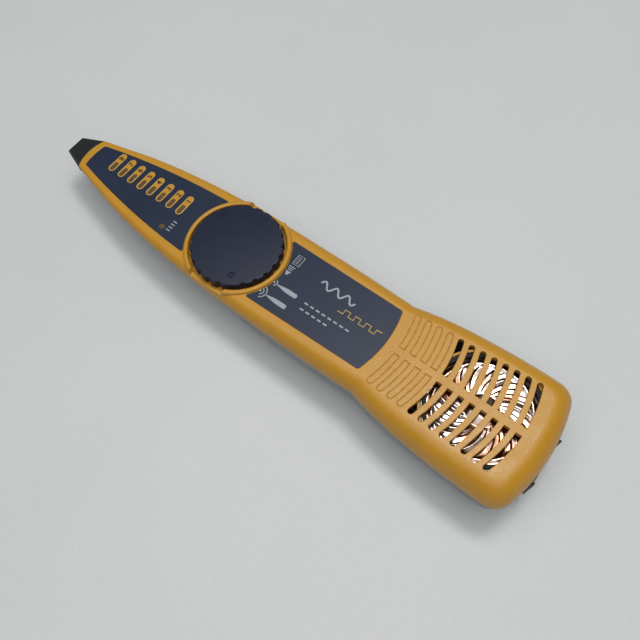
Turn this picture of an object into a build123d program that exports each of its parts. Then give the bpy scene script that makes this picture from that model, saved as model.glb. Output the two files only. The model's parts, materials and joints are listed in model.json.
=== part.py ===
from build123d import *
from math import cos, pi, radians, sin, sqrt, tan
import os

# Hand-held tone probe: a pointed receiver that picks up a tracing tone from a cable.
# Frame: +X from the black tip to the square rear end, +Y across, +Z up.
# The origin is the centre of the footprint on the table; all lengths are millimetres.

# ---- Overall form -------------------------------------------------------------------
rear_x = 121.0  # face of the socket frame at the rear end
tip_x = -121.0  # blunt end of the probe tip
seam_z = 22.5  # flat joint plane between the two shells
face_angle = 2.35  # the control face climbs towards the rear, degrees
dial_x = -24.8  # dial axis where it meets the control face
dial_face_z = 27.35  # height of the control face at the dial axis
wall = 2.2  # wall of both shells
front_x = -109.6  # joint line between shells and tip
front_bulge = 1.6  # the joint line bows towards the tip
shell_rear_x = 120.4  # rear face of the shells on the centre line
corner_x = 115.6  # where the side would meet the rear face
corner_half = 27.3
corner_radius = 8.0
side_round = 0.75  # shoulder width of the upper shell over its height
belly_x = 0.0  # the underside is flat behind this and rises in front of it
belly_rise = 0.108  # slope of the rising underside
belly_round = 0.32  # corner rounding of the lower shell over its half width
belly_power = 1.7  # fullness of the lower shell's corners
front_tuck = 5.5  # how far the lower shell tucks in under the front
seam_step = 0.35  # the lower shell sits this far inside the upper one
seam_groove_height = 0.6  # a shadow groove runs round the lower shell at the joint plane
seam_groove_depth = 0.9

# Half widths of the plan outline at the joint plane, from tip to waist and waist to rear
waist_x = 48.2
front_side = ((front_x, 8.6), (-100.0, 10.95), (-88.8, 13.75), (-58.8, 18.8), (-28.8, 21.3),
              (belly_x, 21.9), (24.0, 22.0), (waist_x, 21.6))
rear_side = ((waist_x, 21.6), (61.2, 24.4), (81.2, 26.6), (101.2, 27.5))

# ---- Control face, in the tilted face plane (u along, v across, w up) ----------------
dial_radius = 19.2
dial_top = 3.0
dial_dome = 0.5
dial_notches = 24
notch_radius = 1.35
notch_centre = 19.7
dial_pointer_angle = -58.0  # off position of the pointer dimple
pocket_radius = 20.4
pocket_depth = 2.5
pocket_floor = 1.3
collar_outer = 22.35
collar_top = 1.25
collar_inner_top = 0.85
collar_crest_radius = 21.1
collar_flat = 20.9  # the collar is cut flat along both sides
finger_gap = 8.0  # half length of the side openings that bare the dial's edge
finger_gap_depth = 1.5
finger_gap_flare = 1.5

label_depth = 0.25
label_arc = 22.6
label_free_round = 1.2
label_near_round = 0.7
upper_label_tip_u = -82.6
upper_label_tip_half = 6.1
upper_label_end_half = 15.1
upper_label_bow = 1.65  # the sides bow outwards, following the shell
upper_label_bulge = 0.6
lower_label_front_half = 15.6
lower_label_rear_u = 71.1
lower_label_rear_half = 14.9
lower_label_bow = 0.0
lower_label_bulge = 2.3

window_count = 8
window_first_u = -71.34
window_pitch = 5.66
window_v = 2.8
window_length = 10.4
window_width = 3.2
lens_length = 4.7
lens_width = 1.8
lens_v = 0.4
sync_u = -32.6
sync_v = -10.6
sync_radius = 1.3

grille_first_u = 98.5
grille_pitch = 4.73
grille_arc = 59.0
grille_half = 18.1
grille_half_growth = 0.26
grille_width = 2.4
grille_spine = 1.67
grille_open = 8
grille_closed = 4
groove_width = 0.35
groove_depth = 0.3

# ---- Loudspeaker ---------------------------------------------------------------------
speaker_u = 116.3
speaker_radius = 22.5
cone_radius = 20.5
speaker_seat = -3.4  # front of the basket flange below the control face
speaker_ring_wall = 1.2  # the ring under the grille that centres the loudspeaker
speaker_ring_low = -5.4
speaker_play = 0.2

# ---- Inside --------------------------------------------------------------------------
board_z = 15.0
board_thickness = 1.6
board_rear_x = 36.0
board_outline = ((-99, 2.8), (-88.8, 5.2), (-58.8, 11.3), (-28.8, 15.5), (0, 17.8), (25, 17.8),
                 (25, 9.8), (board_rear_x, 9.8), (board_rear_x, 0))
clearance = 0.05
battery_length = 45.5
battery_width = 26.5
battery_height = 17.5
battery_front_x = 50.5
battery_z = 2.3
well_half = 13.9
well_front_x = 46.0
well_rear_x = 97.0
rib = 1.2
rib_top_z = 16.5
door_front_x = 36.4
door_rear_x = 99.0
door_half = 15.0
door_thickness = 1.3
door_gap = 0.15
door_screw_x = 40.6
post_places = ((-52.0, 6.0), (-52.0, -6.0), (30.0, 13.8), (30.0, -13.8), (108.5, 19.0), (108.5, -19.0))
post_radius = 3.6
top_post_radius = 3.0
screw_radius = 1.2
screw_head_radius = 2.4
screw_head_height = 1.6
screw_length = 16.0
screw_end_depth = 1.3  # screw ends stop this far below the control face in the front posts
screw_end_z = 27.0
board_screw_places = ((-72.0, -6.3), (8.0, 14.0), (8.0, -14.0))
jack_z = 13.3
bezel_width = 20.7
bezel_height = 16.2
bezel_face_x = 120.4
bezel_back_x = 117.4
bezel_ear = 1.1  # width of the raised ear at either end of the bezel
jack_width = 15.9
jack_height = 13.4
jack_front_x = 102.5
plug_width = 11.9
plug_height = 8.2

face_tan = tan(radians(face_angle))
face_hinge_x = dial_x - (dial_face_z - seam_z) / face_tan
face_plane = Plane(origin=(dial_x, 0, dial_face_z), x_dir=(1, 0, face_tan), z_dir=(-face_tan, 0, 1))
belly_hinge_x = belly_x - seam_z / belly_rise
section_steps = [sin(radians(angle)) for angle in (0, 20, 40, 58, 74, 90)]


def face_height(x):
    """Height of the control face above the table."""
    return dial_face_z + (x - dial_x) * face_tan


def face_point(u, v, w):
    """A point given along, across and above the control face."""
    return face_plane.from_local_coords((u, v, w))


def belly_height(x):
    """Height of the underside above the table on the centre line."""
    return max(0.0, belly_rise * (belly_x - x))


def outline(lean, hinge_x, inset, start_x, end_x):
    """Plan outline, drawn inset, on a plane that leans about the cross line at hinge_x in the joint plane."""
    plane = Plane(origin=(hinge_x, 0, seam_z), x_dir=(1, 0, lean), z_dir=(-lean, 0, 1))
    stretch = sqrt(1 + lean**2)
    corner_inset = inset(corner_x, corner_half)

    def at(x, y):
        return ((x - hinge_x) * stretch, y)

    with BuildSketch(plane) as section:
        with BuildLine():
            nose = [at(x, half - inset(x, half)) for x, half in front_side if start_x <= x <= end_x]
            Spline(*nose)
            if end_x > waist_x:
                tail = [at(x, half - inset(x, half)) for x, half in rear_side]
                corner = at(corner_x - 0.75 * corner_inset, corner_half - corner_inset)
                Spline(*tail, corner)
            mirror(about=Plane.XZ)
            first = nose[0]
            if start_x == front_x:
                ThreePointArc(first, (first[0] - front_bulge, 0), (first[0], -first[1]))
            else:
                Line(first, (first[0], -first[1]))
            if end_x > waist_x:
                ThreePointArc(corner, at(shell_rear_x - corner_inset, 0), (corner[0], -corner[1]))
            else:
                Line(nose[-1], (nose[-1][0], -nose[-1][1]))
        make_face()
        if end_x > waist_x:
            rear_corners = section.vertices().sort_by(Axis.X)[-2:]
            fillet(rear_corners, corner_radius - 0.35 * corner_inset)
    return section.sketch


def top_section(step, shrink, start_x):
    """One layer of the upper shell: step 0 is the joint plane and step 1 the control face."""
    hinge_x = face_hinge_x + shrink / face_tan

    def inset(x, half):
        return shrink + side_round * face_tan * (x - hinge_x) * (1 - sqrt(1 - step**2))

    return outline(face_tan * step, hinge_x, inset, start_x, shell_rear_x)


def belly_inset(step, shrink):
    """How far the lower shell stands inside the plan outline at one depth."""
    rounding = belly_round * (1 - (1 - step**belly_power) ** (1 / belly_power))
    tuck_length = 1.25 * (belly_x - front_x)

    def inset(x, half):
        tuck = front_tuck * sin(pi * max(0.0, belly_x - x) / tuck_length)
        return seam_step + shrink + rounding * half + tuck * step

    return inset


def rear_belly_section(step, shrink):
    """A level layer of the lower shell behind the belly line."""
    layer = outline(0, 0, belly_inset(step, shrink), belly_x, shell_rear_x)
    return layer.moved(Location((0, 0, (shrink - seam_z) * step)))


def front_belly_section(step, shrink, start_x):
    """A leaning layer of the lower shell in front of the belly line."""
    hinge_x = belly_hinge_x + shrink / belly_rise
    return outline(-belly_rise * step, hinge_x, belly_inset(step, shrink), start_x, belly_x)


def seam_outline(depth):
    """The whole plan outline at the joint plane, drawn in by the same amount all round."""
    return outline(0, 0, lambda x, half: depth, front_x, shell_rear_x)


def block(x_range, y_range, z_range, mode=Mode.ADD):
    """A plain block between limits on the three axes."""
    limits = (x_range, y_range, z_range)
    with Locations(tuple((low + high) / 2 for low, high in limits)):
        Box(*(high - low for low, high in limits), mode=mode)


def post(x, y, radius, low, high, mode=Mode.ADD):
    """An upright cylinder between two heights."""
    with Locations((x, y, (low + high) / 2)):
        Cylinder(radius, high - low, mode=mode)


def face_disc(u, v, radius, low, high, mode=Mode.ADD):
    """A cylinder square to the control face, between two distances from it."""
    with Locations(face_plane.location * Location((u, v, (low + high) / 2))):
        Cylinder(radius, high - low, mode=mode)


def face_ring(u, inner, outer, low, high):
    """A flat ring square to the control face."""
    face_disc(u, 0, outer, low, high)
    face_disc(u, 0, inner, low - 1, high + 1, mode=Mode.SUBTRACT)


def label_sketch(plane, margin, is_upper):
    """Outline of one face label: bowed at its free end and hollow towards the dial."""
    side = -1 if is_upper else 1
    near_half = (upper_label_end_half if is_upper else lower_label_front_half) + margin
    free_half = (upper_label_tip_half if is_upper else lower_label_rear_half) + margin
    free_u = (upper_label_tip_u if is_upper else lower_label_rear_u) + side * margin
    bow = upper_label_bow if is_upper else lower_label_bow
    bulge = upper_label_bulge if is_upper else lower_label_bulge
    hollow = label_arc - margin
    near_u = side * sqrt(hollow**2 - near_half**2)
    side_middle = ((free_u + near_u) / 2, (free_half + near_half) / 2 + bow)
    with BuildSketch(plane) as label:
        with BuildLine():
            if bow:
                ThreePointArc((free_u, free_half), side_middle, (near_u, near_half))
            else:
                Line((free_u, free_half), (near_u, near_half))
            mirror(about=Plane.XZ)
            ThreePointArc((near_u, near_half), (side * hollow, 0), (near_u, -near_half))
            ThreePointArc((free_u, -free_half), (free_u + side * bulge, 0), (free_u, free_half))
        make_face()
        fillet(label.vertices().sort_by(Axis.X, reverse=not is_upper)[:2], label_free_round + margin)
        fillet(label.vertices().sort_by(Axis.X, reverse=not is_upper)[-2:], label_near_round)
    return label.sketch


def window_sketch(plane, length, width, centre_v):
    """The row of rounded lamp windows, or of the lens holes inside them."""
    with BuildSketch(plane) as windows:
        with Locations(*((window_first_u + window_pitch * i, centre_v) for i in range(window_count))):
            SlotOverall(length, width, rotation=90)
    return windows.sketch


def grille_sketch(plane, first, count, margin):
    """Curved slots bowed towards the rear and split by the spine on the centre line."""
    with BuildSketch(plane) as slots:
        for i in range(first, first + count):
            centre_u = grille_first_u + grille_pitch * i
            half = grille_half + grille_half_growth * i - grille_width / 2
            drop = grille_arc - sqrt(grille_arc**2 - half**2)
            middle = Edge.make_three_point_arc((centre_u - drop, half), (centre_u, 0), (centre_u - drop, -half))
            SlotArc(middle, grille_width + 2 * margin)
        with Locations((grille_first_u + grille_pitch * (first + count / 2), 0)):
            Rectangle(grille_pitch * (count + 6), 2 * (grille_spine - margin), mode=Mode.SUBTRACT)
    return slots.sketch


def save(builder, name):
    """Label a finished piece and write its file."""
    builder.part.label = name
    export_step(builder.part, "parts/" + name + ".step")


os.makedirs("parts", exist_ok=True)
side_plane = Plane(origin=face_plane.origin, x_dir=face_plane.x_dir, z_dir=(0, -1, 0))
dial_axis = Axis(face_plane.origin, face_plane.z_dir)
speaker_axis = Axis(face_plane.from_local_coords((speaker_u, 0, 0)), face_plane.z_dir)

# ---- Upper shell ---------------------------------------------------------------------
# The collar is a rounded ring on the pocket floor, cut flat along both sides.
collar_base = -pocket_depth - pocket_floor
switch_hole = 3.4

with BuildPart() as dial_collar:
    with BuildSketch(side_plane):
        with BuildLine():
            Polyline((collar_outer, 0), (collar_outer, collar_base), (0, collar_base),
                     (0, -pocket_depth), (pocket_radius, -pocket_depth), (pocket_radius, collar_inner_top))
            ThreePointArc((pocket_radius, collar_inner_top), (collar_crest_radius, collar_top), (collar_outer, 0))
        make_face()
    revolve(axis=dial_axis)
    with BuildSketch(face_plane.offset(collar_base)):
        Rectangle(3 * collar_outer, 2 * collar_flat)
    extrude(amount=3 * dial_top, mode=Mode.INTERSECT)

with BuildPart() as top_housing:
    loft(sections=[top_section(step, 0, front_x) for step in section_steps])
    loft(sections=[top_section(step, wall, -58.8) for step in section_steps], mode=Mode.SUBTRACT)
    for post_x, post_y in post_places:
        post(post_x, post_y, top_post_radius, seam_z, face_height(post_x) - wall / 2)
        post(post_x, post_y, screw_radius + clearance, seam_z - 1,
             min(screw_end_z, face_height(post_x) - screw_end_depth) + 0.1, mode=Mode.SUBTRACT)
    # A round wall centres the loudspeaker
    face_disc(speaker_u, 0, speaker_radius + speaker_ring_wall, speaker_ring_low, -wall)
    face_disc(speaker_u, 0, speaker_radius + speaker_play, 2 * speaker_ring_low, -wall, mode=Mode.SUBTRACT)
    # Dial pocket with its collar
    face_disc(0, 0, pocket_radius, -pocket_depth, 3 * dial_top, mode=Mode.SUBTRACT)
    add(dial_collar.part)
    face_disc(0, 0, switch_hole, 2 * collar_base, 0, mode=Mode.SUBTRACT)
    with BuildSketch(side_plane):
        with BuildLine():
            Polyline((-finger_gap, -finger_gap_depth), (finger_gap, -finger_gap_depth),
                     (finger_gap + finger_gap_flare, dial_top), (-finger_gap - finger_gap_flare, dial_top),
                     close=True)
        make_face()
    extrude(amount=2 * collar_outer, both=True, mode=Mode.SUBTRACT)
    # Label recesses, with the window pads left standing in the upper one
    extrude(label_sketch(face_plane.offset(-label_depth), clearance, False), amount=1, mode=Mode.SUBTRACT)
    extrude(label_sketch(face_plane.offset(-label_depth), clearance, True), amount=1, mode=Mode.SUBTRACT)
    extrude(window_sketch(face_plane.offset(-2 * label_depth), window_length, window_width, window_v),
            amount=2 * label_depth)
    # Lens holes, grille slots and the closed slots that carry the pattern forward
    extrude(window_sketch(face_plane.offset(1), lens_length + 2 * clearance, lens_width + 2 * clearance, lens_v),
            amount=-6, mode=Mode.SUBTRACT)
    face_disc(sync_u, sync_v, sync_radius + clearance, -6, 1, mode=Mode.SUBTRACT)
    extrude(grille_sketch(face_plane.offset(-wall - 0.4), 0, grille_open, 0), amount=2 * wall,
            mode=Mode.SUBTRACT)
    with BuildSketch(face_plane.offset(-groove_depth)):
        add(grille_sketch(Plane.XY, -grille_closed, grille_closed, groove_width / 2))
        add(grille_sketch(Plane.XY, -grille_closed, grille_closed, -groove_width / 2), mode=Mode.SUBTRACT)
    extrude(amount=1, mode=Mode.SUBTRACT)
save(top_housing, "top_housing")

# ---- Lower shell ---------------------------------------------------------------------
neck_half = 3.6
neck_low_z = 15.0
neck_high_z = 21.5
neck_rear_x = -103.0
door_boss_radius = 4.4
door_pad_radius = 3.2
door_pad_top = 2.5
door_boss_top = 11.0
door_boss_roof = 1.5
floor_z = 1.5  # posts and ribs are rooted in the floor at this height
board_post_radius = 2.2
board_pilot_radius = 0.95
board_pilot_depth = 4.0
jack_rest_x = (104, 115)
jack_rest_half = 6.0
rear_window_x = 112.5
bezel_play = 0.1

with BuildPart() as belly_form:
    loft(sections=[rear_belly_section(step, 0) for step in section_steps])
    loft(sections=[front_belly_section(step, 0, front_x) for step in section_steps])
    # Shadow groove under the joint plane
    extrude(seam_outline(0), amount=-seam_groove_height, mode=Mode.SUBTRACT)
    extrude(seam_outline(seam_step + seam_groove_depth), amount=-seam_groove_height)

with BuildPart() as bottom_housing:
    add(belly_form.part)
    loft(sections=[rear_belly_section(step, wall) for step in section_steps], mode=Mode.SUBTRACT)
    loft(sections=[front_belly_section(step, wall, -100.0) for step in section_steps], mode=Mode.SUBTRACT)
    # The tip's neck drops into a slot in the solid nose
    block((front_x - 3, -99), (-neck_half - clearance, neck_half + clearance),
          (neck_low_z - clearance, seam_z + 1), mode=Mode.SUBTRACT)
    for post_x, post_y in post_places:
        head_z = min(screw_end_z, face_height(post_x) - screw_end_depth) - screw_length
        post(post_x, post_y, post_radius, belly_height(post_x) + floor_z, seam_z)
        post(post_x, post_y, screw_head_radius + 0.2, -1, head_z, mode=Mode.SUBTRACT)
        post(post_x, post_y, screw_radius + 0.15, 0, seam_z + 1, mode=Mode.SUBTRACT)
    for post_x, post_y in board_screw_places:
        post(post_x, post_y, board_post_radius, belly_height(post_x) + floor_z, board_z)
        post(post_x, post_y, board_pilot_radius, board_z - board_pilot_depth, board_z + 1, mode=Mode.SUBTRACT)
    # Battery well: four ribs round an opening in the floor
    block((well_front_x - rib, well_rear_x + rib), (-well_half - rib, well_half + rib), (floor_z, rib_top_z))
    block((well_front_x, well_rear_x), (-well_half, well_half), (-1, rib_top_z + 1), mode=Mode.SUBTRACT)
    post(door_screw_x, 0, door_boss_radius, floor_z, door_boss_top)
    block((door_front_x - door_gap, door_rear_x + door_gap), (-door_half - door_gap, door_half + door_gap),
          (-1, door_thickness + clearance), mode=Mode.SUBTRACT)
    post(door_screw_x, 0, door_pad_radius + 0.15, 0, door_pad_top + clearance, mode=Mode.SUBTRACT)
    post(door_screw_x, 0, screw_radius + clearance, 0, door_boss_top - door_boss_roof, mode=Mode.SUBTRACT)
    # Rear window for the socket, and the rib the socket rests on
    block(jack_rest_x, (-jack_rest_half, jack_rest_half), (floor_z, jack_z - jack_height / 2))
    block((rear_window_x, rear_x + 2), (-bezel_width / 2 - bezel_play, bezel_width / 2 + bezel_play),
          (jack_z - bezel_height / 2 - bezel_play, jack_z + bezel_height / 2 + bezel_play), mode=Mode.SUBTRACT)
    # Nothing inside may stand out through the rounded outside
    add(belly_form.part, mode=Mode.INTERSECT)
save(bottom_housing, "bottom_housing")

# ---- Tip -----------------------------------------------------------------------------
tip_half = 4.5
tip_bevel = 0.9
tip_gap = 0.12
tip_droop = 1.2  # the tip's top falls away from the control face by this much
tip_side_z = 20.4
tip_corner_round = 0.9
antenna_radius = 1.5
antenna_z = 18.2
tip_lean = face_tan + tip_droop / (front_x - tip_x)


def tip_section(lean, hinge_x, hinge_z, scale, trim):
    """One layer of the tip: narrow and blunt in front, hollow behind where it meets the shells."""
    plane = Plane(origin=(hinge_x, 0, hinge_z), x_dir=(1, 0, lean), z_dir=(-lean, 0, 1))
    stretch = sqrt(1 + lean**2)
    back = (front_x - tip_gap - hinge_x) * stretch
    front = (tip_x + trim - hinge_x) * stretch
    back_half = front_side[0][1] * scale - trim
    front_half = tip_half * scale - 0.8 * trim
    with BuildSketch(plane) as section:
        with BuildLine():
            Line((back, back_half), (front, front_half))
            Line((front, front_half), (front, -front_half))
            Line((front, -front_half), (back, -back_half))
            ThreePointArc((back, -back_half), (back - front_bulge, 0), (back, back_half))
        make_face()
        fillet(section.vertices().sort_by(Axis.X)[:2], tip_corner_round * scale)
    return section.sketch


with BuildPart() as probe_tip:
    loft(sections=[
        tip_section(-belly_rise, belly_hinge_x, seam_z, 0.45, 0.6),
        tip_section(-0.6 * belly_rise, belly_hinge_x, seam_z, 0.8, 0.1),
        tip_section(0, 0, tip_side_z, 1, 0),
        tip_section(tip_lean, front_x, face_height(front_x) - tip_bevel, 1, 0),
        tip_section(tip_lean, front_x, face_height(front_x), 1, tip_bevel),
    ], ruled=True)
    block((front_x - front_bulge - 2, neck_rear_x), (-neck_half, neck_half), (neck_low_z, neck_high_z))
    with Locations(Location(((tip_x + 3 + neck_rear_x) / 2, 0, antenna_z), (0, 90, 0))):
        Cylinder(antenna_radius + clearance, neck_rear_x - tip_x - 3, mode=Mode.SUBTRACT)
save(probe_tip, "probe_tip")

with BuildPart() as antenna_rod:
    with Locations(Location(((tip_x + 3.2 + neck_rear_x + 1.5) / 2, 0, antenna_z), (0, 90, 0))):
        Cylinder(antenna_radius, neck_rear_x + 1.5 - tip_x - 3.2)
    fillet(antenna_rod.edges().filter_by(GeomType.CIRCLE), 0.4)
save(antenna_rod, "antenna_rod")

# ---- Labels and lenses ---------------------------------------------------------------
label_face = face_plane.offset(-label_depth)
with BuildPart() as upper_label:
    extrude(label_sketch(label_face, 0, True), amount=label_depth)
    extrude(window_sketch(label_face.offset(-1), window_length + 2 * clearance, window_width + 2 * clearance,
                          window_v), amount=2, mode=Mode.SUBTRACT)
    face_disc(sync_u, sync_v, sync_radius + clearance, -1, 1, mode=Mode.SUBTRACT)
save(upper_label, "upper_label")

with BuildPart() as lower_label:
    extrude(label_sketch(label_face, 0, False), amount=label_depth)
save(lower_label, "lower_label")

lens_depth = 4.2
with BuildPart() as wiremap_lenses:
    extrude(window_sketch(face_plane.offset(-lens_depth), lens_length, lens_width, lens_v), amount=lens_depth)
save(wiremap_lenses, "wiremap_lenses")

with BuildPart() as sync_lens:
    face_disc(sync_u, sync_v, sync_radius, -lens_depth, 0)
save(sync_lens, "sync_lens")

# ---- Mode dial -----------------------------------------------------------------------
shaft_radius = 3.0
shaft_flat = 2.2
hub_radius = 5.5
dial_edge_top = dial_top - dial_dome
dial_edge_round = 0.6
dial_base = 0.3 - pocket_depth
dial_hollow_radius = 15.0
dial_hollow_roof = 0.6
shaft_top = dial_hollow_roof + 1.0
pointer_radius = 14.9
pointer_dimple = 1.5
pointer_nub = 0.45


def d_sketch(plane, radius, flat):
    """A circle with one flat, for the shaft and the holes it drives."""
    with BuildSketch(plane) as section:
        Circle(radius)
        with Locations((flat + radius, 0)):
            Rectangle(2 * radius, 4 * radius, mode=Mode.SUBTRACT)
    return section.sketch


with BuildPart() as mode_dial:
    with BuildSketch(side_plane):
        with BuildLine():
            dome = TangentArc((0, dial_top), (dial_radius - dial_edge_round, dial_edge_top), tangent=(1, 0))
            RadiusArc(dome @ 1, (dial_radius, dial_edge_top - dial_edge_round), dial_edge_round)
            Polyline((dial_radius, dial_edge_top - dial_edge_round), (dial_radius, dial_base), (0, dial_base),
                     (0, dial_top))
        make_face()
    revolve(axis=dial_axis)
    # Finger notches all round the edge except at the pointer
    with BuildSketch(face_plane.offset(dial_base - 1)):
        for i in range(1, dial_notches):
            angle = radians(dial_pointer_angle + 360 / dial_notches * i)
            with Locations((notch_centre * cos(angle), notch_centre * sin(angle))):
                Circle(notch_radius)
    extrude(amount=3 * dial_top, mode=Mode.SUBTRACT)
    # Hollow underside round a hub
    with BuildSketch(face_plane.offset(dial_base)):
        Circle(dial_hollow_radius)
        Circle(hub_radius, mode=Mode.SUBTRACT)
    extrude(amount=dial_hollow_roof - dial_base, mode=Mode.SUBTRACT)
    extrude(d_sketch(face_plane.offset(dial_base), shaft_radius + 0.02, shaft_flat + 0.02),
            amount=shaft_top + 0.1 - dial_base, mode=Mode.SUBTRACT)
    # Pointer dimple with a small nub in it
    pointer_u = pointer_radius * cos(radians(dial_pointer_angle))
    pointer_v = pointer_radius * sin(radians(dial_pointer_angle))
    face_disc(pointer_u, pointer_v, pointer_dimple, dial_edge_top - 0.4, dial_top + 1, mode=Mode.SUBTRACT)
    face_disc(pointer_u, pointer_v, pointer_nub, dial_edge_top - 0.5, dial_edge_top + 0.1)
save(mode_dial, "mode_dial")

switch_top = collar_base - 0.4
switch_base = -9.9
switch_radius = 8.0
with BuildPart() as switch_body:
    face_disc(0, 0, switch_radius, switch_base, switch_top)
    face_disc(0, 0, switch_radius - 1.2, switch_base + 0.8, switch_top - 0.8, mode=Mode.SUBTRACT)
    face_disc(0, 0, shaft_radius + clearance, switch_top - 1, switch_top + 1, mode=Mode.SUBTRACT)
save(switch_body, "switch_body")

with BuildPart() as switch_shaft:
    extrude(d_sketch(face_plane.offset(switch_base + 1), shaft_radius, shaft_flat),
            amount=shaft_top - switch_base - 1)
save(switch_shaft, "switch_shaft")

detent_low = -7.6
detent_high = -6.4
detent_radius = 6.2
with BuildPart() as detent_plate:
    with BuildSketch(face_plane.offset(detent_low)):
        Circle(detent_radius)
        with PolarLocations(detent_radius, 24):
            Circle(0.45, mode=Mode.SUBTRACT)
        add(d_sketch(Plane.XY, shaft_radius + 0.02, shaft_flat + 0.02), mode=Mode.SUBTRACT)
    extrude(amount=detent_high - detent_low)
save(detent_plate, "detent_plate")

with BuildPart() as detent_spring:
    with BuildSketch(face_plane.offset(detent_low)):
        Circle(detent_radius + 0.5)
        Circle(detent_radius + 0.25, mode=Mode.SUBTRACT)
        with Locations((0, -detent_radius)):
            Rectangle(3 * detent_radius, 2.8 * detent_radius, mode=Mode.SUBTRACT)
    extrude(amount=detent_high - detent_low)
save(detent_spring, "detent_spring")

# ---- Main board ----------------------------------------------------------------------
board_top = board_z + board_thickness
with BuildPart() as main_board:
    with BuildSketch(Plane.XY.offset(board_z)):
        with BuildLine():
            Polyline(*board_outline)
            mirror(about=Plane.XZ)
            nose_x, nose_half = board_outline[0]
            Line((nose_x, nose_half), (nose_x, -nose_half))
        make_face()
        with Locations(*post_places[:2]):
            Circle(post_radius + 0.3, mode=Mode.SUBTRACT)
        with Locations(*board_screw_places):
            Circle(1.2, mode=Mode.SUBTRACT)
    extrude(amount=board_thickness)
save(main_board, "main_board")

with BuildPart() as board_screws:
    for post_x, post_y in board_screw_places:
        post(post_x, post_y, 1.9, board_top, board_top + 1.3)
        post(post_x, post_y, 0.9, board_z - 3.8, board_top)
        with Locations((post_x, post_y, board_top + 1.0)):
            Box(2.6, 0.5, 0.7, mode=Mode.SUBTRACT)
            Box(0.5, 2.6, 0.7, mode=Mode.SUBTRACT)
save(board_screws, "board_screws")


def chip(x, y, size_x, size_y, size_z):
    """A component body standing on the main board."""
    block((x - size_x / 2, x + size_x / 2), (y - size_y / 2, y + size_y / 2), (board_top, board_top + size_z))


with BuildPart() as wiremap_leds:
    for i in range(window_count):
        chip(face_plane.from_local_coords((window_first_u + window_pitch * i, 0, -8)).X, lens_v, 1.25, 2.4, 0.8)
save(wiremap_leds, "wiremap_leds")

sync_x = face_plane.from_local_coords((sync_u, 0, -8)).X
with BuildPart() as sync_led:
    chip(sync_x, sync_v + 0.7, 1.25, 2.0, 0.8)
save(sync_led, "sync_led")

# Chips as place and size: x, y, length, width, height
chip_list = ((-2, 2, 10, 10, 1.2), (14, -3, 5, 4, 1.5), (14, 5, 5, 4, 1.5), (-45, -8, 5, 4, 1.5))
with BuildPart() as signal_chips:
    for chip_size in chip_list:
        chip(*chip_size)
save(signal_chips, "signal_chips")

capacitor_places = ((21, 12.5), (-6, -13), (29, 4), (-42, 9))
capacitor_radius = 2.5
capacitor_height = 4.6
with BuildPart() as capacitors:
    for cap_x, cap_y in capacitor_places:
        post(cap_x, cap_y, capacitor_radius, board_top, board_top + capacitor_height)
save(capacitors, "capacitors")

# ---- Loudspeaker ---------------------------------------------------------------------
flange_base = speaker_seat - 1.2
cone_front = speaker_seat - 0.25
coil_radius = 6.1
film_thickness = 0.25
dome_radius = 6.4
roll_radius = 18.7
plate_front = -8.2
magnet_front = -9.0
yoke_front = -10.6
yoke_base = -11.6

with BuildPart() as speaker_gasket:
    face_ring(speaker_u, cone_radius + 0.1, speaker_radius - 0.5, speaker_seat, -wall)
save(speaker_gasket, "speaker_gasket")

with BuildPart() as speaker_basket:
    with BuildSketch(side_plane.shift_origin(speaker_axis.position)):
        with BuildLine():
            Polyline((cone_radius + 0.1, speaker_seat), (speaker_radius, speaker_seat),
                     (speaker_radius, flange_base), (cone_radius + 0.5, flange_base), (14.2, plate_front),
                     (7.2, plate_front), (7.2, plate_front + 0.8), (13.4, plate_front + 0.8),
                     (cone_radius + 0.1, flange_base + 0.1), close=True)
        make_face()
    revolve(axis=speaker_axis)
save(speaker_basket, "speaker_basket")

with BuildPart() as speaker_diaphragm:
    with BuildSketch(side_plane.shift_origin(speaker_axis.position)):
        with BuildLine():
            # A centre dome, a shallow cone and one rolled edge, drawn as the film's front and back faces
            for film_w in (0, -film_thickness):
                dome_edge = (dome_radius, cone_front - 0.9 + film_w)
                roll_start = (roll_radius - 1.2, cone_front - 0.3 + film_w)
                roll_end = (roll_radius + 1.2, cone_front - 0.3 + film_w)
                TangentArc((0, cone_front + 0.2 + film_w), dome_edge, tangent=(1, 0))
                Line(dome_edge, roll_start)
                ThreePointArc(roll_start, (roll_radius, cone_front + 0.1 + film_w), roll_end)
                Line(roll_end, (cone_radius, cone_front - 0.3 + film_w))
            Line((0, cone_front + 0.2), (0, cone_front + 0.2 - film_thickness))
            Line((cone_radius, cone_front - 0.3), (cone_radius, cone_front - 0.3 - film_thickness))
        make_face()
    revolve(axis=speaker_axis)
save(speaker_diaphragm, "speaker_diaphragm")

with BuildPart() as voice_coil:
    face_ring(speaker_u, coil_radius - 0.2, coil_radius + 0.2, magnet_front + 0.1, cone_front - 1.2)
save(voice_coil, "voice_coil")

with BuildPart() as speaker_plate:
    face_ring(speaker_u, coil_radius + 0.5, 11.5, magnet_front, plate_front)
save(speaker_plate, "speaker_plate")

with BuildPart() as speaker_magnet:
    face_ring(speaker_u, coil_radius + 1.2, 11.8, yoke_front, magnet_front)
save(speaker_magnet, "speaker_magnet")

with BuildPart() as speaker_yoke:
    face_disc(speaker_u, 0, 11.5, yoke_base, yoke_front)
    face_disc(speaker_u, 0, coil_radius - 0.5, yoke_front, plate_front + 0.4)
save(speaker_yoke, "speaker_yoke")

terminal_u = speaker_u - 21.65
with BuildPart() as speaker_terminals:
    with Locations(face_plane.location * Location((terminal_u, 0, flange_base - 0.4))):
        Box(1.2, 8, 0.8)
    for terminal_v in (-2.5, 2.5):
        face_disc(terminal_u, terminal_v, 0.5, flange_base - 1.4, flange_base - 0.8)
save(speaker_terminals, "speaker_terminals")

# ---- Battery, its contacts and its door ----------------------------------------------
battery_mid_z = battery_z + battery_height / 2
terminal_gap = 0.2
contact_x = battery_front_x - 3.0 - terminal_gap

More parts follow.
